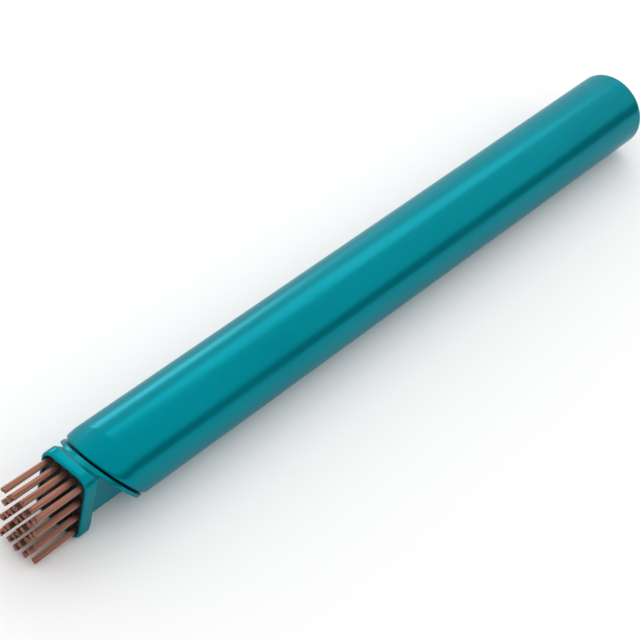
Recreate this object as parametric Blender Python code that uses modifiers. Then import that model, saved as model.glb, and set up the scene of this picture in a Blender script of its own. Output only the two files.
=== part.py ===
"""Club groove brush: a round handle with a slanted front, and a small wire brush head plugged into it.

The handle lies along X with its closed back end at +X, and rests on Z = 0 with its axis straight above
the origin. Distances called "reach" run forward along the handle's axis from its back face, so the brush
points to -X. A slanted cut is a pair (reach on the axis, extra reach for each metre above the axis).
"""

import math

import bmesh
import bpy
from mathutils import Matrix, Vector

MM = 0.001
GAP = 0.3 * MM

TOTAL_LENGTH = 175.0 * MM
BACK_X = TOTAL_LENGTH / 2

# Handle tube
HANDLE_RADIUS = 8.0 * MM
AXIS_HEIGHT = HANDLE_RADIUS
BACK_ROUNDING = 1.4 * MM
FRONT_EDGE = 1.1 * MM
SHOULDER_REACH = 155.2 * MM
NOSE_TAPER = 15.0
HANDLE_SIDES = 56
BORE_RADIUS = 5.6 * MM
COUNTERBORE_RADIUS = 6.1 * MM
COUNTERBORE_DEPTH = 2.0 * MM
FRONT_LEAN = 0.86
HANDLE_FRONT = (154.7 * MM, FRONT_LEAN)
BORE_FRONT = (151.6 * MM, FRONT_LEAN)
SLEEVE_FRONT = (152.6 * MM, FRONT_LEAN)
SLEEVE_BACK_REACH = 136.0 * MM
SLEEVE_HALF = 4.6 * MM
SOCKET_HALF = 3.6 * MM
SQUARE_CORNER = 1.0 * MM

# End plug
PLUG_DISC_RADIUS = COUNTERBORE_RADIUS - GAP
PLUG_DISC_THICKNESS = COUNTERBORE_DEPTH - GAP
PLUG_SKIRT_RADIUS = BORE_RADIUS - GAP
PLUG_SKIRT_INNER = 4.0 * MM
PLUG_LENGTH = 10.0 * MM

# Brush head moulding
FLANGE_BACK_RADIUS = 7.85 * MM
FLANGE_FRONT_RADIUS = 8.0 * MM
FLANGE_BACK = (HANDLE_FRONT[0] + GAP * math.hypot(1, FRONT_LEAN), FRONT_LEAN)
FLANGE_FRONT = (FLANGE_BACK[0] + 0.95 * MM, FRONT_LEAN)
COLLAR_HALF_WIDTH = 5.4 * MM
COLLAR_HALF_HEIGHT = 7.7 * MM
COLLAR_CORNER = 2.4 * MM
COLLAR_DROP = 0.2 * MM
COLLAR_BACK_REACH = 162.5 * MM
WEB_REACH = 0.6 * MM
RIM_REACH = 165.0 * MM
RIM_ROUNDING = 0.35 * MM
RIM_WALL = 0.65 * MM
FLOOR_REACH = 164.3 * MM
CROTCH_RADIUS = 0.95 * MM
NECK_HALF_WIDTH = 4.0 * MM
NECK_HALF_HEIGHT = 5.2 * MM
NECK_CORNER = 1.2 * MM
SPIGOT_HALF = SOCKET_HALF - GAP
SPIGOT_BACK_REACH = 139.0 * MM
SPIGOT_TAPER = 0.8 * MM
HEAD_SIDES = 72

# Wire tufts, in staggered rows: the number of tufts in every row from the top down
TUFT_ROWS = (5, 4, 5, 4, 5, 4, 5)
TUFT_PITCH = 1.95 * MM
TUFT_ROW_PITCH = 1.86 * MM
TUFT_DROP = 0.35 * MM
TUFT_RADIUS = 0.55 * MM
TUFT_ROOT_RADIUS = 0.42 * MM
TUFT_SIDES = 10
HOLE_RADIUS = 0.62 * MM
HOLE_DEPTH = 1.5 * MM
TIP_REACH = TOTAL_LENGTH
TIP_STEP = 0.1 * MM

TEAL = (0.0, 0.24, 0.33, 1)
COPPER = (0.42, 0.2, 0.14, 1)


def clear_scene():
    for thing in list(bpy.data.objects):
        bpy.data.objects.remove(thing)


def new_collection(name):
    collection = bpy.data.collections.new(name)
    bpy.context.scene.collection.children.link(collection)
    return collection


def new_material(name, colour, roughness, metallic=0.0):
    material = bpy.data.materials.new(name)
    material.use_nodes = True
    shader = material.node_tree.nodes["Principled BSDF"]
    shader.inputs["Base Color"].default_value = colour
    shader.inputs["Roughness"].default_value = roughness
    shader.inputs["Metallic"].default_value = metallic
    return material


def new_object(name, bm, collection, material=None):
    """Turns a bmesh into an object, shades it smooth with sharp edges kept, and files it."""
    bmesh.ops.recalc_face_normals(bm, faces=bm.faces[:])
    mesh = bpy.data.meshes.new(name)
    bm.to_mesh(mesh)
    bm.free()
    mesh.shade_smooth()
    mesh.set_sharp_from_angle(angle=math.radians(35))
    thing = bpy.data.objects.new(name, mesh)
    collection.objects.link(thing)
    if material:
        mesh.materials.append(material)
    return thing


def hide_cutter(thing):
    thing.hide_render = True
    thing.display_type = "WIRE"
    return thing


def boolean(thing, operation, cutter):
    step = thing.modifiers.new(f"{operation.lower()} {cutter.name}", "BOOLEAN")
    step.operation = operation
    step.object = cutter
    step.solver = "EXACT"


def world_x(reach):
    return BACK_X - reach


def cut_reach(cut, height):
    """Reach of a slanted cut at a height above the handle's axis."""
    return cut[0] + cut[1] * height


def square_cut(reach):
    return (reach, 0.0)


def round_outline(radius, sides):
    """Points (sideways, up) of a circle about the axis, one at the very top."""
    turns = [2 * math.pi * i / sides for i in range(sides)]
    return [(radius * math.sin(a), radius * math.cos(a)) for a in turns]


def rounded_radius(angle, half_width, half_height, corner):
    """Distance from the axis to a rectangle with rounded corners, in the direction of an angle from up."""
    across = abs(math.sin(angle))
    along = abs(math.cos(angle))
    centre_side = half_width - corner
    centre_up = half_height - corner
    if along * half_width <= across * centre_up:
        return half_width / across
    if across * half_height <= along * centre_side:
        return half_height / along
    outward = centre_side * across + centre_up * along
    sideways = centre_side * along - centre_up * across
    return outward + math.sqrt(corner**2 - sideways**2)


def rounded_outline(half_width, half_height, corner, sides=HEAD_SIDES):
    """Points of a rectangle with rounded corners, at the same angles as round_outline's."""
    turns = [2 * math.pi * i / sides for i in range(sides)]
    radii = [rounded_radius(a, half_width, half_height, corner) for a in turns]
    return [(r * math.sin(a), r * math.cos(a)) for r, a in zip(radii, turns)]


def square_outline(half, corner):
    return rounded_outline(half, half, corner)


def place_on_cut(outline, cut):
    """World points of an outline laid on a slanted cut."""
    return [Vector((world_x(cut_reach(cut, up)), side, AXIS_HEIGHT + up)) for side, up in outline]


def taper(points):
    """Draws points beyond the shoulder in towards the axis, each along its own slanted plane."""
    drawn = []
    for point in points:
        up = point.z - AXIS_HEIGHT
        beyond = max(0.0, BACK_X - point.x - SHOULDER_REACH)
        inward = NOSE_TAPER * beyond
        x = point.x + FRONT_LEAN * up * inward
        drawn.append(Vector((x, point.y * (1 - inward), AXIS_HEIGHT + up * (1 - inward))))
    return drawn


def loft(rings):
    """Skins rings of equally many points, back to front, and caps both ends."""
    bm = bmesh.new()
    loops = [[bm.verts.new(point) for point in ring] for ring in rings]
    for lower, upper in zip(loops, loops[1:]):
        for i, corner in enumerate(lower):
            bm.faces.new((lower[i - 1], corner, upper[i], upper[i - 1]))
    bm.faces.new(loops[0])
    bm.faces.new(reversed(loops[-1]))
    return bm


def bar(outline, back, front):
    """A bar of one section along the handle, cut on a slant at each end."""
    return loft([place_on_cut(outline, back), place_on_cut(outline, front)])


def cutter_bar(name, outline, back, front, collection):
    return hide_cutter(new_object(name, bar(outline, back, front), collection))


def turned(name, profile, steps, collection, material):
    """A turned piece: the profile's (radius, height) points run down its outer side, about local Z."""
    bm = bmesh.new()
    points = [bm.verts.new((radius, 0, height)) for radius, height in profile]
    for upper, lower in zip(points, points[1:]):
        bm.edges.new((upper, lower))
    mesh = bpy.data.meshes.new(name)
    bm.to_mesh(mesh)
    bm.free()
    thing = bpy.data.objects.new(name, mesh)
    collection.objects.link(thing)
    mesh.materials.append(material)
    screw = thing.modifiers.new("turn", "SCREW")
    screw.axis = "Z"
    screw.steps = steps
    screw.render_steps = steps
    screw.use_merge_vertices = True
    screw.merge_threshold = 0.00001
    screw.use_smooth_shade = True
    return thing


def point_forward(thing, reach, side=0.0, up=0.0):
    """Lays a turned piece along the handle: its local Z points forward, its base is at the reach."""
    thing.rotation_euler = (0, -math.pi / 2, 0)
    thing.location = (world_x(reach), side, AXIS_HEIGHT + up)
    return thing


def back_rounding_rings(steps=5):
    """Rings of the handle's rounded back edge, from its flat back face to its straight wall."""
    rings = []
    for i in range(steps + 1):
        turn = math.pi / 2 * i / steps
        radius = HANDLE_RADIUS - BACK_ROUNDING * (1 - math.sin(turn))
        reach = BACK_ROUNDING * (1 - math.cos(turn))
        rings.append(place_on_cut(round_outline(radius, HANDLE_SIDES), square_cut(reach)))
    return rings


def nose_rings(steps=6):
    """Rings of the tapered nose, from its shoulder round the edge to the slanted front.

    The edge leaves the wall and meets the front FRONT_EDGE away from where the two would cross.
    """
    corners = place_on_cut(round_outline(HANDLE_RADIUS, HANDLE_SIDES), HANDLE_FRONT)
    middle = Vector((world_x(HANDLE_FRONT[0]), 0, AXIS_HEIGHT))
    backs = [corner + Vector((FRONT_EDGE, 0, 0)) for corner in corners]
    fronts = [corner + FRONT_EDGE * (middle - corner).normalized() for corner in corners]
    shoulder = [Vector((max(world_x(SHOULDER_REACH), back.x + GAP), back.y, back.z)) for back in backs]
    rings = [shoulder]
    for i in range(steps + 1):
        share = i / steps
        rings.append(
            taper(
                back.lerp(corner, share).lerp(corner.lerp(front, share), share)
                for back, corner, front in zip(backs, corners, fronts)
            )
        )
    return rings


def make_handle_tube(parts, cutters, material):
    tube = new_object("handle_tube", loft(back_rounding_rings() + nose_rings()), parts, material)
    outside = square_cut(-5 * MM)
    counterbore = cutter_bar(
        "counterbore",
        round_outline(COUNTERBORE_RADIUS, HANDLE_SIDES),
        outside,
        square_cut(COUNTERBORE_DEPTH),
        cutters,
    )
    bore = cutter_bar("bore", round_outline(BORE_RADIUS, HANDLE_SIDES), outside, BORE_FRONT, cutters)
    sleeve = cutter_bar(
        "sleeve",
        square_outline(SLEEVE_HALF, SQUARE_CORNER),
        square_cut(SLEEVE_BACK_REACH),
        SLEEVE_FRONT,
        cutters,
    )
    socket = cutter_bar(
        "socket",
        square_outline(SOCKET_HALF, SQUARE_CORNER),
        square_cut(SLEEVE_BACK_REACH - 5 * MM),
        square_cut(TOTAL_LENGTH),
        cutters,
    )
    boolean(tube, "DIFFERENCE", counterbore)
    boolean(tube, "DIFFERENCE", bore)
    boolean(tube, "UNION", sleeve)
    boolean(tube, "DIFFERENCE", socket)
    return tube


def make_end_plug(parts, material):
    edge = 0.3 * MM
    profile = [
        (0, PLUG_DISC_THICKNESS),
        (PLUG_SKIRT_INNER, PLUG_DISC_THICKNESS),
        (PLUG_SKIRT_INNER, PLUG_LENGTH),
        (PLUG_SKIRT_RADIUS - edge, PLUG_LENGTH),
        (PLUG_SKIRT_RADIUS, PLUG_LENGTH - 3 * edge),
        (PLUG_SKIRT_RADIUS, PLUG_DISC_THICKNESS),
        (PLUG_DISC_RADIUS, PLUG_DISC_THICKNESS),
        (PLUG_DISC_RADIUS, edge),
        (PLUG_DISC_RADIUS - edge, 0),
        (0, 0),
    ]
    return point_forward(turned("end_plug", profile, 48, parts, material), 0)


def crotch_outline(steps=6):
    """Side view (reach, up) of the open wedge between the collar's back and the flange's front.

    The wedge's apex is filled by an arc of CROTCH_RADIUS that meets both faces smoothly.
    """
    apex_up = (COLLAR_BACK_REACH - FLANGE_FRONT[0]) / FRONT_LEAN
    apex = Vector((COLLAR_BACK_REACH, apex_up))
    collar_way = Vector((0, -1))
    flange_way = Vector((-FRONT_LEAN, -1)).normalized()
    half_angle = collar_way.angle(flange_way) / 2
    middle_way = (collar_way + flange_way).normalized()
    centre = apex + middle_way * (CROTCH_RADIUS / math.sin(half_angle))
    tangent = CROTCH_RADIUS / math.tan(half_angle)
    start = (apex + collar_way * tangent - centre).normalized()
    end = (apex + flange_way * tangent - centre).normalized()
    arc = [centre + CROTCH_RADIUS * start.slerp(end, i / steps) for i in range(steps + 1)]
    depth = 4 * HANDLE_RADIUS
    return [apex + collar_way * depth, *arc, apex + flange_way * depth]


def make_crotch_cutter(cutters):
    """The wedge of crotch_outline, drawn through the whole width of the head."""
    width = 2 * HANDLE_RADIUS
    outline = crotch_outline()
    rings = [
        [Vector((world_x(reach), side, AXIS_HEIGHT + up)) for reach, up in outline]
        for side in (-width, width)
    ]
    return hide_cutter(new_object("crotch", loft(rings), cutters))


def collar_outline(inset=0.0):
    """The collar's outline, which sits a little below the axis, drawn in by an inset."""
    outline = rounded_outline(COLLAR_HALF_WIDTH - inset, COLLAR_HALF_HEIGHT - inset, COLLAR_CORNER - inset)
    return [(side, up - COLLAR_DROP) for side, up in outline]


def head_blank(steps=3):
    """The head's outer form, from the flange's back to the collar's rim, before the wedge is cut."""
    web = []
    for side, up in collar_outline():
        reach = max(COLLAR_BACK_REACH, cut_reach(FLANGE_FRONT, up) + WEB_REACH)
        web.append(Vector((world_x(reach), side, AXIS_HEIGHT + up)))
    rings = [
        taper(place_on_cut(round_outline(FLANGE_BACK_RADIUS, HEAD_SIDES), FLANGE_BACK)),
        taper(place_on_cut(round_outline(FLANGE_FRONT_RADIUS, HEAD_SIDES), FLANGE_FRONT)),
        web,
    ]
    for i in range(steps + 1):
        turn = math.pi / 2 * i / steps
        outline = collar_outline(RIM_ROUNDING * (1 - math.cos(turn)))
        rings.append(place_on_cut(outline, square_cut(RIM_REACH - RIM_ROUNDING * (1 - math.sin(turn)))))
    return loft(rings)


def tuft_places():
    """(row, column, sideways, up) of every tuft, in staggered rows from the top down."""
    places = []
    for row, count in enumerate(TUFT_ROWS, 1):
        up = ((len(TUFT_ROWS) + 1) / 2 - row) * TUFT_ROW_PITCH - TUFT_DROP
        for column in range(1, count + 1):
            places.append((row, column, (column - (count + 1) / 2) * TUFT_PITCH, up))
    return places


def make_hole_cutter(cutters):
    """All the blind tuft holes in one cutter of separate round bars."""
    bm = bmesh.new()
    length = HOLE_DEPTH + 4 * MM
    reach = FLOOR_REACH - HOLE_DEPTH + length / 2
    for _, _, side, up in tuft_places():
        place = Matrix.Translation((world_x(reach), side, AXIS_HEIGHT + up))
        bmesh.ops.create_cone(
            bm,
            cap_ends=True,
            segments=TUFT_SIDES,
            radius1=HOLE_RADIUS,
            radius2=HOLE_RADIUS,
            depth=length,
            matrix=place @ Matrix.Rotation(math.pi / 2, 4, "Y"),
        )
    return hide_cutter(new_object("tuft_holes", bm, cutters))


def make_brush_head(parts, cutters, material):
    head = new_object("brush_head", head_blank(), parts, material)
    inside_collar = square_cut(COLLAR_BACK_REACH + GAP)
    inside_flange = (FLANGE_BACK[0] + 0.6 * MM, FRONT_LEAN)
    neck_outline = rounded_outline(NECK_HALF_WIDTH, NECK_HALF_HEIGHT, NECK_CORNER)
    neck = cutter_bar("neck", neck_outline, inside_flange, inside_collar, cutters)
    spigot_rings = [
        place_on_cut(square_outline(half, SQUARE_CORNER), cut)
        for half, cut in (
            (SPIGOT_HALF - SPIGOT_TAPER, square_cut(SPIGOT_BACK_REACH)),
            (SPIGOT_HALF, square_cut(SPIGOT_BACK_REACH + 2.5 * SPIGOT_TAPER)),
            (SPIGOT_HALF, inside_flange),
        )
    ]
    spigot = hide_cutter(new_object("spigot", loft(spigot_rings), cutters))
    above_rim = square_cut(RIM_REACH + 3 * MM)
    recess = cutter_bar("recess", collar_outline(RIM_WALL), square_cut(FLOOR_REACH), above_rim, cutters)
    boolean(head, "DIFFERENCE", make_crotch_cutter(cutters))
    boolean(head, "UNION", neck)
    boolean(head, "UNION", spigot)
    boolean(head, "DIFFERENCE", recess)
    boolean(head, "DIFFERENCE", make_hole_cutter(cutters))
    return head


def make_tufts(parts, material):
    """Each tuft is squeezed where its hole holds it, and full width above the collar's floor."""
    tufts = []
    base = FLOOR_REACH - HOLE_DEPTH + GAP
    swell = FLOOR_REACH + GAP - base
    for row, column, side, up in tuft_places():
        tip = TIP_REACH - TIP_STEP * ((3 * row + 5 * column) % 7) - base
        profile = [
            (0, tip),
            (TUFT_RADIUS, tip),
            (TUFT_RADIUS, swell + GAP),
            (TUFT_ROOT_RADIUS, swell),
            (TUFT_ROOT_RADIUS, 0),
            (0, 0),
        ]
        tuft = turned(f"tuft_{row}_{column}", profile, TUFT_SIDES, parts, material)
        tufts.append(point_forward(tuft, base, side, up))
    return tufts


def main():
    clear_scene()
    parts = new_collection("club_groove_brush")
    cutters = new_collection("cutters")
    teal = new_material("teal_plastic", TEAL, 0.25)
    copper = new_material("copper_wire", COPPER, 0.35, 1.0)

    make_handle_tube(parts, cutters, teal)
    make_end_plug(parts, teal)
    head = [make_brush_head(parts, cutters, teal), *make_tufts(parts, copper)]

    head_slide = bpy.data.objects.new("head_slide", None)
    parts.objects.link(head_slide)
    head_slide.location = (world_x(HANDLE_FRONT[0]), 0, AXIS_HEIGHT)
    bpy.context.view_layer.update()
    for piece in head:
        piece.parent = head_slide
        piece.matrix_parent_inverse = head_slide.matrix_world.inverted()


main()
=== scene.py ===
"""Club groove brush: a glossy handle with a slanted nose, a plug-in head, and tufts of straight copper wire.

X runs along the handle with its closed back end at +X, Z is up, and the handle lies on Z = 0. A "reach" is a
distance forward from the handle's back face. A slanted cut is a reach on the handle's axis and a lean, which
is the extra reach for each metre above the axis. A "turn" is an angle about the axis from straight up.
"""

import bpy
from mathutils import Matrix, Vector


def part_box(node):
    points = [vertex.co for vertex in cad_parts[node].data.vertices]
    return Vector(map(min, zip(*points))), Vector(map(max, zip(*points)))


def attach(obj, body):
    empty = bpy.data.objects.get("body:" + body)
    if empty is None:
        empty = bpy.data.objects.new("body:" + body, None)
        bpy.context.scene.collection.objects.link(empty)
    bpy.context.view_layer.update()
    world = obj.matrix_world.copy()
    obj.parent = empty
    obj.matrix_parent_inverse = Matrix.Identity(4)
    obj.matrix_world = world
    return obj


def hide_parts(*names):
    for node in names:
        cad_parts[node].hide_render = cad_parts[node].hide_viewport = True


bl_info = {
    "name": "Club groove brush",
    "version": (1, 0, 0),
    "blender": (4, 5, 0),
    "location": "3D View > Sidebar > Groove brush",
    "description": "Builds the handle, the plug-in head, the wire tufts and the stage of a club groove brush",
    "category": "Object",
}

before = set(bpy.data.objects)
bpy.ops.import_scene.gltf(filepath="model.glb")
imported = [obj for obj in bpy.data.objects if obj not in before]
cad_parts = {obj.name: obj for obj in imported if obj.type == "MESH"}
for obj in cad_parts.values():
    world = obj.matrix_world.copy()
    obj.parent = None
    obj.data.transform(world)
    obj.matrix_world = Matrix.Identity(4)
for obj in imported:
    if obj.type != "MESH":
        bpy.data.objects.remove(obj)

import math
import random

import bmesh
import bpy
from bpy.props import FloatProperty, FloatVectorProperty, IntProperty, PointerProperty
from mathutils import Matrix, Vector

MM = 0.001
TUBE_LOW, TUBE_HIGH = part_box("handle_tube")
BACK_X = TUBE_HIGH.x
AXIS_Z = (TUBE_HIGH.z + TUBE_LOW.z) / 2
TIP_REACH = BACK_X - min(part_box(node)[0].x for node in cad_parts)
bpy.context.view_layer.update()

# How many tufts stand in each row, from the top down
TUFT_ROWS = (5, 4, 5, 4, 5, 4, 5)


def length_property(name, description, millimetres):
    return FloatProperty(
        name=name, description=description, default=millimetres * MM, unit="LENGTH", precision=5
    )


def angle_property(name, description, degrees):
    return FloatProperty(
        name=name, description=description, default=math.radians(degrees), subtype="ANGLE"
    )


def colour_property(name, description, colour):
    return FloatVectorProperty(
        name=name, description=description, default=colour, size=3, subtype="COLOR", min=0.0, max=1.0
    )


class HandleSizes(bpy.types.PropertyGroup):
    """Sizes of the round handle and its end plug."""

    radius: length_property("Radius", "Outer radius of the handle", (TUBE_HIGH.z - TUBE_LOW.z) / 2 / MM)
    back_rounding: length_property("Back rounding", "Radius of the back edge", 1.4)
    nose_edge: length_property("Nose edge", "How far the soft edge round the front reaches", 1.1)
    front_reach: length_property("Front reach", "Reach of the slanted front on the axis", 154.7)
    shoulder_reach: length_property("Shoulder reach", "Where the nose starts to taper", 155.2)
    shoulder_softness: length_property("Shoulder softness", "Length over which the taper sets in", 0.9)
    bore_radius: length_property("Bore radius", "Radius of the hollow inside", 5.6)
    bore_reach: length_property("Bore reach", "Reach of the hollow's front end", 135.0)
    counterbore_radius: length_property("Counterbore radius", "Radius of the end plug's seat", 6.1)
    counterbore_depth: length_property("Counterbore depth", "Depth of the end plug's seat", 2.0)
    plug_inner: length_property("Plug inner radius", "Inner radius of the end plug's skirt", 4.0)
    socket_half: length_property("Socket half width", "Half the width of the head's square socket", 3.6)
    socket_corner: length_property("Socket corner", "Corner radius of the square socket", 1.0)
    socket_reach: length_property("Socket reach", "Reach of the socket's bottom", 138.0)
    gap: length_property("Gap", "Clearance between pieces that fit into each other", 0.3)
    front_lean: FloatProperty(
        name="Front lean", description="Extra reach for each metre above the axis", default=0.86
    )
    nose_taper: FloatProperty(
        name="Nose taper",
        description="Share of the radius lost for each metre past the shoulder",
        default=15.0,
    )
    sides: IntProperty(name="Sides", description="Corners round the handle", default=160, min=24)


class HeadSizes(bpy.types.PropertyGroup):
    """Sizes of the plug-in head that the wires are set in."""

    flange_back_radius: length_property("Flange back radius", "Radius of the flange at the handle", 7.85)
    flange_front_radius: length_property("Flange front radius", "Radius of the flange's front", 8.0)
    flange_back: length_property("Flange back", "Reach of the flange's back on the axis", 155.1)
    flange_front: length_property("Flange front", "Reach of the flange's front on the axis", 156.05)
    collar_half_width: length_property("Collar half width", "Half the collar's width", 5.4)
    collar_half_height: length_property("Collar half height", "Half the collar's height", 7.7)
    collar_corner: length_property("Collar corner", "Corner radius of the collar", 2.4)
    collar_drop: length_property("Collar drop", "How far the collar sits below the axis", 0.2)
    collar_back: length_property("Collar back", "Reach of the collar's back", 162.5)
    web: length_property("Web", "Length of the bridge above the crotch", 0.6)
    rim: length_property("Rim", "Reach of the collar's rim", 165.0)
    rim_rounding: length_property("Rim rounding", "Radius of the rim's outer edge", 0.35)
    rim_wall: length_property("Rim wall", "Thickness of the rim", 0.65)
    floor: length_property("Floor", "Reach of the floor that the tufts stand on", 164.3)
    crotch: length_property("Crotch", "Radius between the flange and the collar", 0.95)
    neck_half_width: length_property("Neck half width", "Half the neck's width", 4.0)
    neck_half_height: length_property("Neck half height", "Half the neck's height", 5.2)
    neck_corner: length_property("Neck corner", "Corner radius of the neck", 1.2)
    spigot_half: length_property("Spigot half width", "Half the width of the square spigot", 3.3)
    spigot_corner: length_property("Spigot corner", "Corner radius of the spigot", 1.0)
    spigot_back: length_property("Spigot back", "Reach of the spigot's back end", 139.0)
    grain: length_property("Grain", "Size of the moulding's surface grid", 0.15)
    softening: IntProperty(name="Softening", description="Rounds of smoothing of the moulding", default=5)


class TuftSizes(bpy.types.PropertyGroup):
    """Sizes of the wires and of the tufts that they make."""

    pitch: length_property("Pitch", "Distance between tufts in a row", 1.95)
    row_pitch: length_property("Row pitch", "Distance between the staggered rows", 1.86)
    drop: length_property("Drop", "How far the rows sit below the axis", 0.35)
    hole_radius: length_property("Hole radius", "Radius of a tuft's hole", 0.62)
    hole_depth: length_property("Hole depth", "Depth of a tuft's hole", 1.5)
    wire_radius: length_property("Wire radius", "Radius of one wire", 0.115)
    wire_pitch: length_property("Wire pitch", "Distance between neighbouring wires", 0.24)
    swell: length_property("Swell", "Length over which a tuft spreads out of its hole", 0.7)
    splay: length_property("Splay", "How far the outer tufts' tips stand out", 0.15)
    raggedness: length_property("Raggedness", "How much the wires differ in length", 0.25)
    bend: length_property("Bend", "How far a wire's tip strays", 0.04)
    wander: length_property("Wander", "How far a whole tuft's tip strays", 0.04)
    tip_step: length_property("Tip step", "Step between the lengths of the tufts", 0.1)
    squeeze: FloatProperty(
        name="Squeeze", description="Width of a tuft in its hole, as a share of its full width", default=0.78
    )
    opening: FloatProperty(
        name="Opening", description="How much wider a tuft is at its tip, as a share", default=0.08
    )
    wire_sides: IntProperty(name="Wire sides", description="Corners round one wire", default=7, min=5)
    wire_cuts: IntProperty(name="Wire cuts", description="Cuts along one wire", default=5, min=1)


class BrushColours(bpy.types.PropertyGroup):
    """Colours of the plastic, the wire and the stage."""

    plastic: colour_property("Plastic", "Colour of the moulded plastic", (0.0, 0.225, 0.275))
    plastic_deep: colour_property("Deep plastic", "Darker streaks in the plastic", (0.0, 0.19, 0.235))
    plastic_scuffed: colour_property("Scuffed plastic", "Fine scuffs on the plastic", (0.04, 0.3, 0.37))
    # The recess colour is painted shade: it is dark to stand in for the shade that falls between the tufts.
    recess: colour_property("Recess", "Colour of the grimy floor between the tufts", (0.025, 0.04, 0.05))
    copper: colour_property("Copper", "Colour of bright wire", (0.36, 0.16, 0.085))
    copper_dull: colour_property("Dull copper", "Colour of dull wire", (0.14, 0.055, 0.03))
    copper_dark: colour_property("Dark copper", "Colour of tarnish on the wire", (0.12, 0.055, 0.04))
    floor: colour_property("Floor", "Colour of the stage's floor", (0.9, 0.9, 0.9))


class StageSizes(bpy.types.PropertyGroup):
    """Where the camera stands and how far the floor reaches."""

    aim: FloatVectorProperty(
        name="Aim",
        description="Point that the camera looks at",
        default=(-0.0111, -0.0013, 0.008),
        unit="LENGTH",
    )
    distance: length_property("Distance", "From the aim to the camera", 410.3)
    elevation: angle_property("Elevation", "Height of the camera", 44.15)
    azimuth: angle_property("Azimuth", "Compass angle of the camera", -149.24)
    roll: angle_property("Roll", "Tilt of the camera about its view", 14.2)
    lens: FloatProperty(name="Lens", description="Focal length in millimetres", default=123.75)
    floor_size: length_property("Floor size", "Width of the floor", 6000.0)
    world_bright: FloatProperty(
        name="World", description="Brightness of the world all round", default=1.15
    )
    world_dark: FloatProperty(
        name="Dark zone", description="Brightness of the world low on the near side", default=0.02
    )


class GrooveBrush(bpy.types.PropertyGroup):
    """All that a user can change on the brush."""

    handle: PointerProperty(type=HandleSizes)
    head: PointerProperty(type=HeadSizes)
    tufts: PointerProperty(type=TuftSizes)
    colours: PointerProperty(type=BrushColours)
    stage: PointerProperty(type=StageSizes)


class Value:
    """A number that varies over a surface; arithmetic on it adds Math nodes."""

    def __init__(self, recipe, socket):
        self.recipe = recipe
        self.socket = socket

    def math(self, operation, first, second):
        node = self.recipe.node("ShaderNodeMath", {"operation": operation}, {0: first, 1: second})
        return Value(self.recipe, node.outputs[0])

    def __add__(self, other):
        return self.math("ADD", self, other)

    def __radd__(self, other):
        return self.math("ADD", other, self)

    def __sub__(self, other):
        return self.math("SUBTRACT", self, other)

    def __rsub__(self, other):
        return self.math("SUBTRACT", other, self)

    def __mul__(self, other):
        return self.math("MULTIPLY", self, other)

    def __rmul__(self, other):
        return self.math("MULTIPLY", other, self)


class Recipe:
    """The node tree of one material round its Principled shader."""

    def __init__(self, name, **constants):
        self.material = bpy.data.materials.new(name)
        self.material.use_nodes = True
        self.tree = self.material.node_tree
        self.shader = self.tree.nodes["Principled BSDF"]
        for socket, value in constants.items():
            self.shader.inputs[socket.replace("_", " ")].default_value = value

    def plug(self, socket, value):
        if isinstance(value, Value):
            value = value.socket
        if isinstance(value, bpy.types.NodeSocket):
            self.tree.links.new(value, socket)
        else:
            socket.default_value = value

    def node(self, kind, settings=None, inputs=None):
        node = self.tree.nodes.new(kind)
        for name, value in (settings or {}).items():
            if name == "stops":
                for stop, (position, level) in zip(node.color_ramp.elements, value):
                    stop.position = position
                    stop.color = (level, level, level, 1)
            else:
                setattr(node, name, value)
        for name, value in (inputs or {}).items():
            self.plug(node.inputs[name], value)
        return node

    def placed(self, scale):
        """Object coordinates, stretched by a scale along each axis."""
        here = self.node("ShaderNodeTexCoord").outputs["Object"]
        return self.node("ShaderNodeMapping", {}, {"Vector": here, "Scale": scale}).outputs["Vector"]

    def noise(self, scale, detail=3.0, roughness=0.5):
        """Noise from 0 to 1 with that many features a metre along each axis."""
        inputs = {"Vector": self.placed(scale), "Scale": 1.0, "Detail": detail, "Roughness": roughness}
        return Value(self, self.node("ShaderNodeTexNoise", {}, inputs).outputs[0])

    def ramp(self, value, *stops):
        node = self.node("ShaderNodeValToRGB", {"stops": stops}, {"Fac": value})
        return Value(self, node.outputs["Color"])

    def mix(self, factor, first, second):
        ends = [
            value if isinstance(value, bpy.types.NodeSocket) else (*value, 1) for value in (first, second)
        ]
        inputs = {0: factor, 6: ends[0], 7: ends[1]}
        return self.node("ShaderNodeMix", {"data_type": "RGBA"}, inputs).outputs[2]

    def bump(self, height, distance, strength):
        node = self.node("ShaderNodeBump", {}, {"Height": height, "Distance": distance, "Strength": strength})
        self.plug(self.shader.inputs["Normal"], node.outputs[0])


def moulded_plastic():
    """Glossy moulded plastic: flow streaks along the mould, a faint orange peel, and fine scuffs."""
    found = bpy.data.materials.get("moulded_plastic")
    if found:
        return found
    colours = bpy.context.scene.groove_brush.colours
    recipe = Recipe("moulded_plastic", IOR=1.3, Metallic=0.5, Specular_Tint=(0.0, 0.5, 0.55, 1))
    flow = recipe.noise((25, 120, 120), 4.0, 0.55)
    peel = recipe.noise((900, 900, 900), 2.0)
    scuffs = recipe.ramp(recipe.noise((90, 2600, 2600), 2.0), (0.66, 0), (0.74, 1))
    patches = recipe.ramp(recipe.noise((60, 90, 90), 3.0), (0.45, 0), (0.75, 1))
    worn = scuffs * patches
    base = recipe.mix(recipe.ramp(flow, (0.4, 0), (0.8, 1)), colours.plastic, colours.plastic_deep)
    recipe.plug(recipe.shader.inputs["Base Color"], recipe.mix(worn * 0.25, base, colours.plastic_scuffed))
    recipe.plug(recipe.shader.inputs["Roughness"], 0.22 + patches * 0.07 + worn * 0.15)
    recipe.bump(peel * 0.35 - worn * 0.3, 0.00002, 0.5)
    return recipe.material


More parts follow.
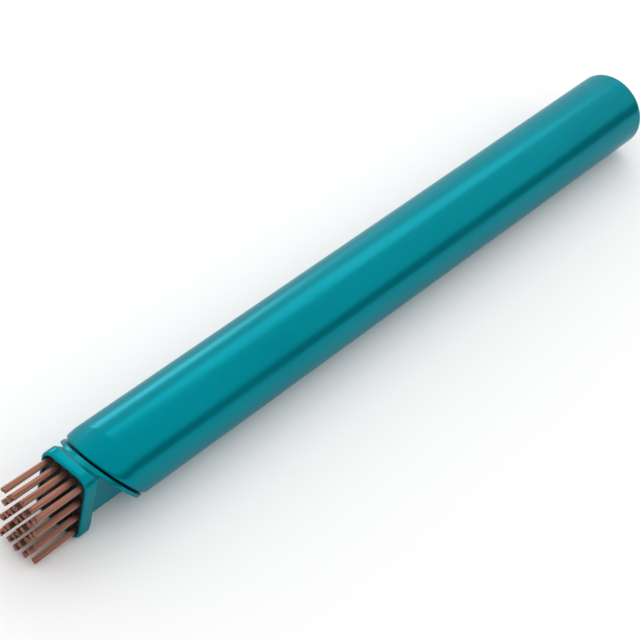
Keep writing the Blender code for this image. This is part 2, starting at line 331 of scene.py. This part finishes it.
def copper_wire():
    """Drawn copper-coloured wire: a tone for each wire, blotches of tarnish, and fine drawing marks."""
    found = bpy.data.materials.get("copper_wire")
    if found:
        return found
    colours = bpy.context.scene.groove_brush.colours
    recipe = Recipe("copper_wire", Metallic=0.85)
    tone = Value(recipe, recipe.node("ShaderNodeAttribute", {"attribute_name": "wire_tone"}).outputs["Fac"])
    blotches = recipe.noise((220, 900, 900), 4.0, 0.6)
    marks = recipe.noise((300, 5000, 5000), 2.0)
    tarnish = recipe.ramp(blotches, (0.52, 0), (0.78, 1))
    wire = recipe.mix(tone, colours.copper, colours.copper_dull)
    recipe.plug(recipe.shader.inputs["Base Color"], recipe.mix(tarnish * 0.55, wire, colours.copper_dark))
    recipe.plug(recipe.shader.inputs["Roughness"], 0.3 + tone * 0.1 + tarnish * 0.2)
    recipe.bump(marks, 0.00001, 0.15)
    return recipe.material


def painted_shade_recess():
    """Painted shade on the recess floor and in the tuft holes: a dark colour stands in for the shade between
    the tufts.
    """
    colour = bpy.context.scene.groove_brush.colours.recess
    darker = [level * 0.6 for level in colour]
    recipe = Recipe("painted_shade_recess", Specular_IOR_Level=0.3)
    # A faint mottle within the painted shade.
    shade_mottle = recipe.noise((900, 900, 900), 3.0)
    recipe.plug(recipe.shader.inputs["Base Color"], recipe.mix(shade_mottle, colour, darker))
    recipe.plug(recipe.shader.inputs["Roughness"], 0.55 + shade_mottle * 0.2)
    return recipe.material


def pale_floor():
    """A matt pale floor with the faintest mottling."""
    colour = bpy.context.scene.groove_brush.colours.floor
    darker = [level * 0.96 for level in colour]
    recipe = Recipe("pale_floor", Specular_IOR_Level=0.1)
    mottle = recipe.noise((3, 3, 3), 3.0)
    recipe.plug(recipe.shader.inputs["Base Color"], recipe.mix(mottle * 0.3, colour, darker))
    recipe.plug(recipe.shader.inputs["Roughness"], 0.8 + mottle * 0.1)
    return recipe.material


def finished(name, bm, material, smooth_below=40.0):
    """Turns a bmesh into an object at the origin, smooth except across sharp edges."""
    bmesh.ops.recalc_face_normals(bm, faces=bm.faces)
    mesh = bpy.data.meshes.new(name)
    bm.to_mesh(mesh)
    bm.free()
    mesh.shade_smooth()
    mesh.set_sharp_from_angle(angle=math.radians(smooth_below))
    mesh.materials.append(material)
    piece = bpy.data.objects.new(name, mesh)
    bpy.context.scene.collection.objects.link(piece)
    return piece


def show(piece, body, slot, *nodes):
    """Seats a piece on its CAD body in place of the nodes it stands for."""
    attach(piece, body)
    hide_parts(*nodes)


def at(reach, side=0.0, up=0.0):
    return Vector((BACK_X - reach, side, AXIS_Z + up))


def around(turn, radius):
    """(sideways, up) at a turn and a distance from the axis."""
    return radius * math.sin(turn), radius * math.cos(turn)


def rounded_radius(turn, half_width, half_height, corner):
    """Distance from the axis to a rectangle with rounded corners, at a turn."""
    across = abs(math.sin(turn))
    along = abs(math.cos(turn))
    centre_side = half_width - corner
    centre_up = half_height - corner
    if along * half_width <= across * centre_up:
        return half_width / across
    if across * half_height <= along * centre_side:
        return half_height / along
    outward = centre_side * across + centre_up * along
    sideways = centre_side * along - centre_up * across
    return outward + math.sqrt(corner**2 - sideways**2)


def on_slant(turn, radius, reach):
    """The place at a turn and a radius on a slanted cut."""
    side, up = around(turn, radius)
    return at(reach + bpy.context.scene.groove_brush.handle.front_lean * up, side, up)


def tapered(place):
    """Draws a place past the shoulder in towards the axis, along its own slanted plane."""
    sizes = bpy.context.scene.groove_brush.handle
    soft = sizes.shoulder_softness
    past = BACK_X - place.x - sizes.shoulder_reach
    if past < -soft / 2:
        return place
    if past < soft / 2:
        past = (past + soft / 2) ** 2 / (2 * soft)
    inward = sizes.nose_taper * past
    up = place.z - AXIS_Z
    x = place.x + sizes.front_lean * up * inward
    return Vector((x, place.y * (1 - inward), AXIS_Z + up * (1 - inward)))


def spun(profile, sides):
    """Spins a profile of (reach, radius) points about the handle's axis and closes its poles."""
    bm = bmesh.new()
    points = [bm.verts.new(at(reach, 0, radius)) for reach, radius in profile]
    edges = [bm.edges.new(pair) for pair in zip(points, points[1:])]
    bmesh.ops.spin(
        bm,
        geom=points + edges,
        cent=at(0),
        axis=(1, 0, 0),
        angle=2 * math.pi,
        steps=sides,
        use_merge=True,
    )
    bmesh.ops.remove_doubles(bm, verts=bm.verts, dist=0.001 * MM)
    mark_turns(bm)
    return bm


def mark_turns(bm):
    """Notes each corner's turn about the axis, which its extruded copies keep."""
    layer = bm.verts.layers.float.new("turn")
    for vert in bm.verts:
        vert[layer] = math.atan2(vert.co.y, vert.co.z - AXIS_Z)


def draw_on(bm, place):
    """Extrudes the open rim and moves each new corner to the place for its turn."""
    layer = bm.verts.layers.float["turn"]
    rim = [edge for edge in bm.edges if edge.is_boundary]
    for item in bmesh.ops.extrude_edge_only(bm, edges=rim)["geom"]:
        if isinstance(item, bmesh.types.BMVert):
            item.co = place(item[layer])


def close_rim(bm):
    bmesh.ops.contextual_create(bm, geom=[edge for edge in bm.edges if edge.is_boundary])


def rounding(centre_reach, centre_radius, radius, steps, start=0.0, end=math.pi / 2):
    """Profile points of an outer rounding, from the back-facing side to the outward side."""
    turns = [start + (end - start) * i / steps for i in range(steps + 1)]
    return [(centre_reach - radius * math.cos(a), centre_radius + radius * math.sin(a)) for a in turns]


def make_handle_tube():
    sizes = bpy.context.scene.groove_brush.handle
    chamfer = 0.15 * MM
    wall = sizes.radius
    edge = sizes.back_rounding
    profile = [
        (sizes.bore_reach, 0),
        (sizes.bore_reach, sizes.bore_radius),
        (sizes.counterbore_depth, sizes.bore_radius),
        (sizes.counterbore_depth, sizes.counterbore_radius),
        (chamfer, sizes.counterbore_radius),
        (0, sizes.counterbore_radius + chamfer),
        *rounding(edge, wall - edge, edge, 10),
        *((reach * MM, wall) for reach in (40, 75, 110, 142)),
    ]
    bm = spun(profile, sizes.sides)
    soft = sizes.shoulder_softness
    edge = sizes.nose_edge
    middle = at(sizes.front_reach)

    def wall_place(turn, past_shoulder, before_edge):
        corner = on_slant(turn, wall, sizes.front_reach)
        side, up = around(turn, wall)
        reach = min(sizes.shoulder_reach + past_shoulder, BACK_X - corner.x - edge - before_edge)
        return tapered(at(reach, side, up))

    def edge_place(turn, share):
        corner = on_slant(turn, wall, sizes.front_reach)
        back = corner + Vector((edge, 0, 0))
        front = corner + edge * (middle - corner).normalized()
        return tapered(back.lerp(corner, share).lerp(corner.lerp(front, share), share))

    bend_rings = 6
    for i in range(bend_rings + 1):
        past = soft * (i / bend_rings - 0.5)
        before_edge = 0.1 * MM * (bend_rings + 2 - i)
        draw_on(bm, lambda turn, past=past, before_edge=before_edge: wall_place(turn, past, before_edge))
    edge_rings = 12
    for i in range(edge_rings + 1):
        draw_on(bm, lambda turn, share=i / edge_rings: edge_place(turn, share))
    socket = sizes.socket_half
    corner = sizes.socket_corner
    for inset, back in ((chamfer, 0), (0, chamfer)):

        def mouth(turn, inset=inset, back=back):
            radius = rounded_radius(turn, socket + inset, socket + inset, corner)
            return on_slant(turn, radius, sizes.front_reach - back)

        draw_on(bm, mouth)

    def bottom(turn):
        return at(sizes.socket_reach, *around(turn, rounded_radius(turn, socket, socket, corner)))

    draw_on(bm, bottom)
    close_rim(bm)
    return finished("handle_moulding", bm, moulded_plastic())


def make_end_plug():
    """The flush plug, with a shallow gate mark in the middle."""
    sizes = bpy.context.scene.groove_brush.handle
    disc = sizes.counterbore_radius - sizes.gap
    skirt = sizes.bore_radius - sizes.gap
    thick = sizes.counterbore_depth - sizes.gap
    inner = sizes.plug_inner
    edge = 0.25 * MM
    deep = 10 * MM
    gate_depth = 0.15 * MM
    gate_radius = 0.7 * MM
    profile = [
        (gate_depth, 0),
        (gate_depth, gate_radius),
        (0, gate_radius + 0.2 * MM),
        *rounding(edge, disc - edge, edge, 5),
        (thick, disc),
        (thick, skirt),
        (deep - edge, skirt),
        (deep, skirt - edge),
        (deep, inner + edge),
        (deep - edge, inner),
        (thick, inner),
        (thick, 0),
    ]
    bm = spun(profile, sizes.sides)
    return finished("end_plug_moulding", bm, moulded_plastic())


def bar(half_width, half_height, corner, back, front, up=0.0):
    """A bar with rounded long edges, cut at each end by a plane given as (reach, lean)."""
    bm = bmesh.new()
    long = 100 * MM
    bmesh.ops.create_cube(bm, size=2, matrix=Matrix.Diagonal((long, half_width, half_height, 1)))
    edges = [edge for edge in bm.edges if abs(edge.verts[0].co.x - edge.verts[1].co.x) > long]
    bmesh.ops.bevel(
        bm,
        geom=edges,
        offset=corner,
        affect="EDGES",
        segments=8,
        profile=0.5,
        material=-1,
        clamp_overlap=False,
    )
    middle = (back[0] + front[0]) / 2
    bmesh.ops.translate(bm, verts=bm.verts, vec=at(middle, 0, up))
    for (reach, lean), way in ((back, 1), (front, -1)):
        bmesh.ops.bisect_plane(
            bm,
            geom=bm.verts[:] + bm.edges[:] + bm.faces[:],
            plane_co=at(reach),
            plane_no=Vector((1, 0, lean)) * way,
            clear_outer=True,
        )
        close_rim(bm)
    return bm


def crotch_wedge(steps=14):
    """The open wedge between the flange's front and the collar's back, with a rounded apex."""
    settings = bpy.context.scene.groove_brush
    head, lean = settings.head, settings.handle.front_lean
    half_width = 16 * MM
    apex = at(head.collar_back, -half_width, (head.collar_back - head.flange_front) / lean)
    collar_way = Vector((0, 0, -1))
    flange_way = Vector((lean, 0, -1)).normalized()
    half_angle = collar_way.angle(flange_way) / 2
    middle_way = (collar_way + flange_way).normalized()
    centre = apex + middle_way * head.crotch / math.sin(half_angle)
    tangent = head.crotch / math.tan(half_angle)
    start, end = ((apex + way * tangent - centre).normalized() for way in (collar_way, flange_way))
    arc = [centre + head.crotch * start.slerp(end, i / steps) for i in range(steps + 1)]
    deep = 30 * MM
    bm = bmesh.new()
    outline = [apex + collar_way * deep, *arc, apex + flange_way * deep]
    side = bm.faces.new([bm.verts.new(place) for place in outline])
    far = bmesh.ops.extrude_face_region(bm, geom=[side])["geom"]
    corners = [item for item in far if isinstance(item, bmesh.types.BMVert)]
    bmesh.ops.translate(bm, verts=corners, vec=(0, 2 * half_width, 0))
    return bm


def tuft_places():
    """(row, column, sideways, up) of every tuft, in staggered rows from the top down."""
    sizes = bpy.context.scene.groove_brush.tufts
    places = []
    for row, count in enumerate(TUFT_ROWS, 1):
        up = ((len(TUFT_ROWS) + 1) / 2 - row) * sizes.row_pitch - sizes.drop
        for column in range(1, count + 1):
            places.append((row, column, (column - (count + 1) / 2) * sizes.pitch, up))
    return places


def tuft_holes():
    """All the tufts' blind holes, as separate round bars that stand well clear of the rim."""
    settings = bpy.context.scene.groove_brush
    bm = bmesh.new()
    depth = settings.tufts.hole_depth + 3 * MM
    reach = settings.head.floor - settings.tufts.hole_depth + depth / 2
    for _, _, side, up in tuft_places():
        bmesh.ops.create_cone(
            bm,
            cap_ends=True,
            segments=20,
            radius1=settings.tufts.hole_radius,
            radius2=settings.tufts.hole_radius,
            depth=depth,
            matrix=Matrix.Translation(at(reach, side, up)) @ Matrix.Rotation(math.pi / 2, 4, "Y"),
        )
    return bm


def head_blank():
    """The head's outer form, drawn on ring by ring from the flange's back to the collar's rim."""
    settings = bpy.context.scene.groove_brush
    head, lean = settings.head, settings.handle.front_lean

    def collar(turn, inset):
        radius = rounded_radius(
            turn,
            head.collar_half_width - inset,
            head.collar_half_height - inset,
            head.collar_corner - inset,
        )
        side, up = around(turn, radius)
        return side, up - head.collar_drop

    def web(turn):
        side, up = collar(turn, 0)
        return at(max(head.collar_back, head.flange_front + lean * up + head.web), side, up)

    def rim(turn, share):
        inset = head.rim_rounding * (1 - math.cos(share * math.pi / 2))
        reach = head.rim - head.rim_rounding * (1 - math.sin(share * math.pi / 2))
        return at(reach, *collar(turn, inset))

    bm = bmesh.new()
    facing = Matrix.Translation(at(0)) @ Matrix.Rotation(math.pi / 2, 4, "Y")
    bmesh.ops.create_circle(bm, cap_ends=True, segments=144, radius=head.flange_back_radius, matrix=facing)
    mark_turns(bm)
    layer = bm.verts.layers.float["turn"]
    for vert in bm.verts:
        vert.co = tapered(on_slant(vert[layer], head.flange_back_radius, head.flange_back))
    draw_on(bm, lambda turn: tapered(on_slant(turn, head.flange_front_radius, head.flange_front)))
    draw_on(bm, web)
    rim_rings = 5
    for i in range(rim_rings + 1):
        draw_on(bm, lambda turn, share=i / rim_rings: rim(turn, share))
    close_rim(bm)
    return bm


def settled(piece):
    """Replaces a piece's mesh by what its modifiers make of it."""
    shape = piece.evaluated_get(bpy.context.evaluated_depsgraph_get())
    mesh = bpy.data.meshes.new_from_object(shape)
    piece.modifiers.clear()
    piece.data = mesh


def head_steps():
    """What is joined to the head's outer form and cut from it, in order."""
    settings = bpy.context.scene.groove_brush
    head = settings.head
    inside_flange = (head.flange_back + 0.5 * MM, settings.handle.front_lean)
    inside_collar = (head.collar_back + 0.4 * MM, 0)
    past_rim = (head.rim + 5 * MM, 0)
    wall = head.rim_wall
    neck = bar(head.neck_half_width, head.neck_half_height, head.neck_corner, inside_flange, inside_collar)
    spigot = bar(
        head.spigot_half, head.spigot_half, head.spigot_corner, (head.spigot_back, 0), inside_flange
    )
    recess = bar(
        head.collar_half_width - wall,
        head.collar_half_height - wall,
        head.collar_corner - wall,
        (head.floor, 0),
        past_rim,
        -head.collar_drop,
    )
    return (
        ("DIFFERENCE", crotch_wedge()),
        ("UNION", neck),
        ("UNION", spigot),
        ("DIFFERENCE", recess),
        ("DIFFERENCE", tuft_holes()),
    )


def is_recess(place):
    """Whether a place on the head's skin is on the recess's floor or in a tuft hole."""
    settings = bpy.context.scene.groove_brush
    head = settings.head
    reach = BACK_X - place.x
    side, up = place.y, place.z - AXIS_Z + head.collar_drop
    in_width = abs(side) < head.collar_half_width - head.rim_wall
    in_height = abs(up) < head.collar_half_height - head.rim_wall
    deepest = head.floor - settings.tufts.hole_depth - 0.2 * MM
    return in_width and in_height and deepest < reach < head.floor + 0.15 * MM


def make_brush_head():
    """The moulded head: solids are joined and cut, then its skin is drawn anew so that every edge is soft."""
    head = bpy.context.scene.groove_brush.head
    plastic = moulded_plastic()
    piece = finished("head_moulding", head_blank(), plastic)
    cutters = []
    for operation, bm in head_steps():
        cutter = finished(f"cutter_{len(cutters)}", bm, plastic)
        step = piece.modifiers.new(cutter.name, "BOOLEAN")
        step.operation = operation
        step.object = cutter
        step.solver = "EXACT"
        cutters.append(cutter)
    skin = piece.modifiers.new("skin", "REMESH")
    skin.mode = "VOXEL"
    skin.voxel_size = head.grain
    skin.use_smooth_shade = True
    soften = piece.modifiers.new("soften", "SMOOTH")
    soften.factor = 0.5
    soften.iterations = head.softening
    settled(piece)
    for cutter in cutters:
        bpy.data.objects.remove(cutter)
    mesh = piece.data
    mesh.shade_smooth()
    mesh.materials.clear()
    mesh.materials.append(plastic)
    mesh.materials.append(painted_shade_recess())
    # Faces on the recess floor and in the tuft holes get the painted-shade material.
    for face in mesh.polygons:
        if is_recess(face.center):
            face.material_index = 1
    return piece


def wire_pattern(pitch):
    """(sideways, up) of 19 wires packed in a hexagon."""
    places = []
    for i in range(-2, 3):
        for j in range(-2, 3):
            if abs(i + j) <= 2:
                places.append(((i + j / 2) * pitch, j * pitch * math.sqrt(3) / 2))
    return places


def make_tuft(row, column, side, up):
    """A bundle of straight wires, squeezed in its hole and cut square at the tips."""
    settings = bpy.context.scene.groove_brush
    sizes = settings.tufts
    chance = random.Random(100 * column + row)
    base = settings.head.floor - sizes.hole_depth + settings.handle.gap
    surface = settings.head.floor
    longest = TIP_REACH - sizes.tip_step * ((3 * row + 5 * column) % 7)
    lean_side = sizes.splay * side / (2 * sizes.pitch) + chance.gauss(0, sizes.wander)
    lean_up = sizes.splay * (up + sizes.drop) / (3 * sizes.row_pitch) + chance.gauss(0, sizes.wander)
    twist = chance.uniform(0, math.pi / 3)
    bm = bmesh.new()
    tone_layer = bm.verts.layers.float.new("wire_tone")
    for first, second in wire_pattern(sizes.wire_pitch):
        pack_side = first * math.cos(twist) - second * math.sin(twist)
        pack_up = first * math.sin(twist) + second * math.cos(twist)
        tip = longest - abs(chance.gauss(0, 0.4)) * sizes.raggedness
        stray_side = chance.gauss(0, sizes.bend)
        stray_up = chance.gauss(0, sizes.bend)
        tone = chance.uniform(0.01, 1)
        length = tip - base
        bmesh.ops.create_cone(
            bm,
            cap_ends=True,
            segments=sizes.wire_sides,
            radius1=sizes.wire_radius,
            radius2=sizes.wire_radius,
            depth=length,
            matrix=Matrix.Translation(at(base + length / 2)) @ Matrix.Rotation(math.pi / 2, 4, "Y"),
        )
        rails = [edge for edge in bm.edges if abs(edge.verts[0].co.x - edge.verts[1].co.x) > length / 2]
        bmesh.ops.subdivide_edges(bm, edges=rails, cuts=sizes.wire_cuts)
        for vert in bm.verts:
            if vert[tone_layer] > 0:
                continue
            reach = BACK_X - vert.co.x
            out = min(1, max(0, (reach - surface) / sizes.swell))
            along = max(0, (reach - surface) / (TIP_REACH - surface))
            pack = sizes.squeeze + (1 - sizes.squeeze) * out + sizes.opening * along
            vert.co.y += side + pack_side * pack + (lean_side + stray_side * along) * along
            vert.co.z += up + pack_up * pack + (lean_up + stray_up * along) * along
            vert[tone_layer] = tone
    return finished(f"wires_{row}_{column}", bm, copper_wire())


class BRUSH_OT_handle(bpy.types.Operator):
    """Builds the round handle with its slanted nose and square socket"""

    bl_idname = "groove_brush.handle"
    bl_label = "Handle"

    def execute(self, context):
        show(make_handle_tube(), "handle", "teal_plastic", "handle_tube")
        return {"FINISHED"}


class BRUSH_OT_end_plug(bpy.types.Operator):
    """Builds the plug that closes the handle's back end"""

    bl_idname = "groove_brush.end_plug"
    bl_label = "End plug"

    def execute(self, context):
        show(make_end_plug(), "handle", "teal_plastic", "end_plug")
        return {"FINISHED"}


class BRUSH_OT_head(bpy.types.Operator):
    """Builds the plug-in head with its flange, neck, collar and tuft holes"""

    bl_idname = "groove_brush.head"
    bl_label = "Head"

    def execute(self, context):
        show(make_brush_head(), "head", "teal_plastic", "brush_head")
        return {"FINISHED"}


class BRUSH_OT_tufts(bpy.types.Operator):
    """Builds every tuft of copper-coloured wires"""

    bl_idname = "groove_brush.tufts"
    bl_label = "Wire tufts"

    def execute(self, context):
        for row, column, side, up in tuft_places():
            show(make_tuft(row, column, side, up), "head", "copper_wire", f"tuft_{row}_{column}")
        return {"FINISHED"}


def add_light(name, way, distance, size, watts):
    """A square soft light that stands off the brush in a direction and faces it."""
    lamp = bpy.data.lights.new(name, "AREA")
    lamp.size = size
    lamp.energy = watts
    light = bpy.data.objects.new(name, lamp)
    light.location = Vector(way).normalized() * distance
    light.rotation_euler = Vector(way).to_track_quat("Z", "Y").to_euler()
    bpy.context.scene.collection.objects.link(light)


def add_camera():
    sizes = bpy.context.scene.groove_brush.stage
    flat = math.cos(sizes.elevation)
    back = Vector(
        (flat * math.cos(sizes.azimuth), flat * math.sin(sizes.azimuth), math.sin(sizes.elevation))
    )
    right = Vector((0, 0, 1)).cross(back).normalized()
    facing = Matrix((right, back.cross(right), back)).transposed().to_4x4()
    place = Matrix.Translation(Vector(sizes.aim) + back * sizes.distance)
    lens = bpy.data.cameras.new("camera")
    lens.lens = sizes.lens
    lens.sensor_width = 36
    lens.clip_start = 0.01
    camera = bpy.data.objects.new("camera", lens)
    camera.matrix_world = place @ facing @ Matrix.Rotation(sizes.roll, 4, "Z")
    bpy.context.scene.collection.objects.link(camera)
    bpy.context.scene.camera = camera


def add_world():
    """An even white world, dark low down on the near side, which lays a dark band along the handle."""
    stage = bpy.context.scene.groove_brush.stage
    world = bpy.data.worlds.new("studio")
    world.use_nodes = True
    tree = world.node_tree

    def ranged(socket, start, end, first, last, easing):
        node = tree.nodes.new("ShaderNodeMapRange")
        node.interpolation_type = easing
        levels = {"From Min": start, "From Max": end, "To Min": first, "To Max": last}
        for name, level in levels.items():
            node.inputs[name].default_value = level
        tree.links.new(socket, node.inputs["Value"])
        return node.outputs[0]

    way = tree.nodes.new("ShaderNodeSeparateXYZ")
    tree.links.new(tree.nodes.new("ShaderNodeTexCoord").outputs["Generated"], way.inputs[0])
    low = ranged(way.outputs["Z"], 0.28, 0.36, 1, 0, "SMOOTHSTEP")
    near = ranged(way.outputs["Y"], -0.25, 0.0, 1, 0, "SMOOTHSTEP")
    dark = tree.nodes.new("ShaderNodeMath")
    dark.operation = "MULTIPLY"
    tree.links.new(low, dark.inputs[0])
    tree.links.new(near, dark.inputs[1])
    strength = ranged(dark.outputs[0], 0, 1, stage.world_bright, stage.world_dark, "LINEAR")
    background = tree.nodes["Background"]
    background.inputs["Color"].default_value = (1, 1, 1, 1)
    tree.links.new(strength, background.inputs["Strength"])
    bpy.context.scene.world = world


class BRUSH_OT_stage(bpy.types.Operator):
    """Builds the pale floor, the soft lights, the world and the camera"""

    bl_idname = "groove_brush.stage"
    bl_label = "Stage"

    def execute(self, context):
        bm = bmesh.new()
        size = context.scene.groove_brush.stage.floor_size
        bmesh.ops.create_grid(bm, x_segments=1, y_segments=1, size=size / 2)
        bmesh.ops.translate(bm, verts=bm.verts, vec=(0, 0, -0.05 * MM))
        finished("floor", bm, pale_floor())
        add_light("key", (0.62, 0.37, 0.7), 1.1, 0.42, 0.75)
        add_light("back", (0.49, 0.84, 0.25), 1.2, 0.3, 0.8)
        add_world()
        context.scene.view_settings.view_transform = "Standard"
        add_camera()
        return {"FINISHED"}


class BRUSH_PT_panel(bpy.types.Panel):
    """Lists the brush's pieces, sizes and colours"""

    bl_idname = "BRUSH_PT_panel"
    bl_label = "Groove brush"
    bl_space_type = "VIEW_3D"
    bl_region_type = "UI"
    bl_category = "Groove brush"

    def draw(self, context):
        settings = context.scene.groove_brush
        for operator in OPERATORS:
            self.layout.operator(operator.bl_idname)
        for group in (settings.handle, settings.head, settings.tufts, settings.colours, settings.stage):
            box = self.layout.box()
            for name in group.bl_rna.properties.keys():
                if name not in ("rna_type", "name"):
                    box.prop(group, name)


GROUPS = (HandleSizes, HeadSizes, TuftSizes, BrushColours, StageSizes, GrooveBrush)
OPERATORS = (BRUSH_OT_handle, BRUSH_OT_end_plug, BRUSH_OT_head, BRUSH_OT_tufts, BRUSH_OT_stage)


def register():
    for item in (*GROUPS, *OPERATORS, BRUSH_PT_panel):
        bpy.utils.register_class(item)
    bpy.types.Scene.groove_brush = PointerProperty(type=GrooveBrush)


def unregister():
    del bpy.types.Scene.groove_brush
    for item in reversed((*GROUPS, *OPERATORS, BRUSH_PT_panel)):
        bpy.utils.unregister_class(item)


def main():
    register()
    bpy.ops.groove_brush.handle()
    bpy.ops.groove_brush.end_plug()
    bpy.ops.groove_brush.head()
    bpy.ops.groove_brush.tufts()
    bpy.ops.groove_brush.stage()


if __name__ == "__main__":
    main()
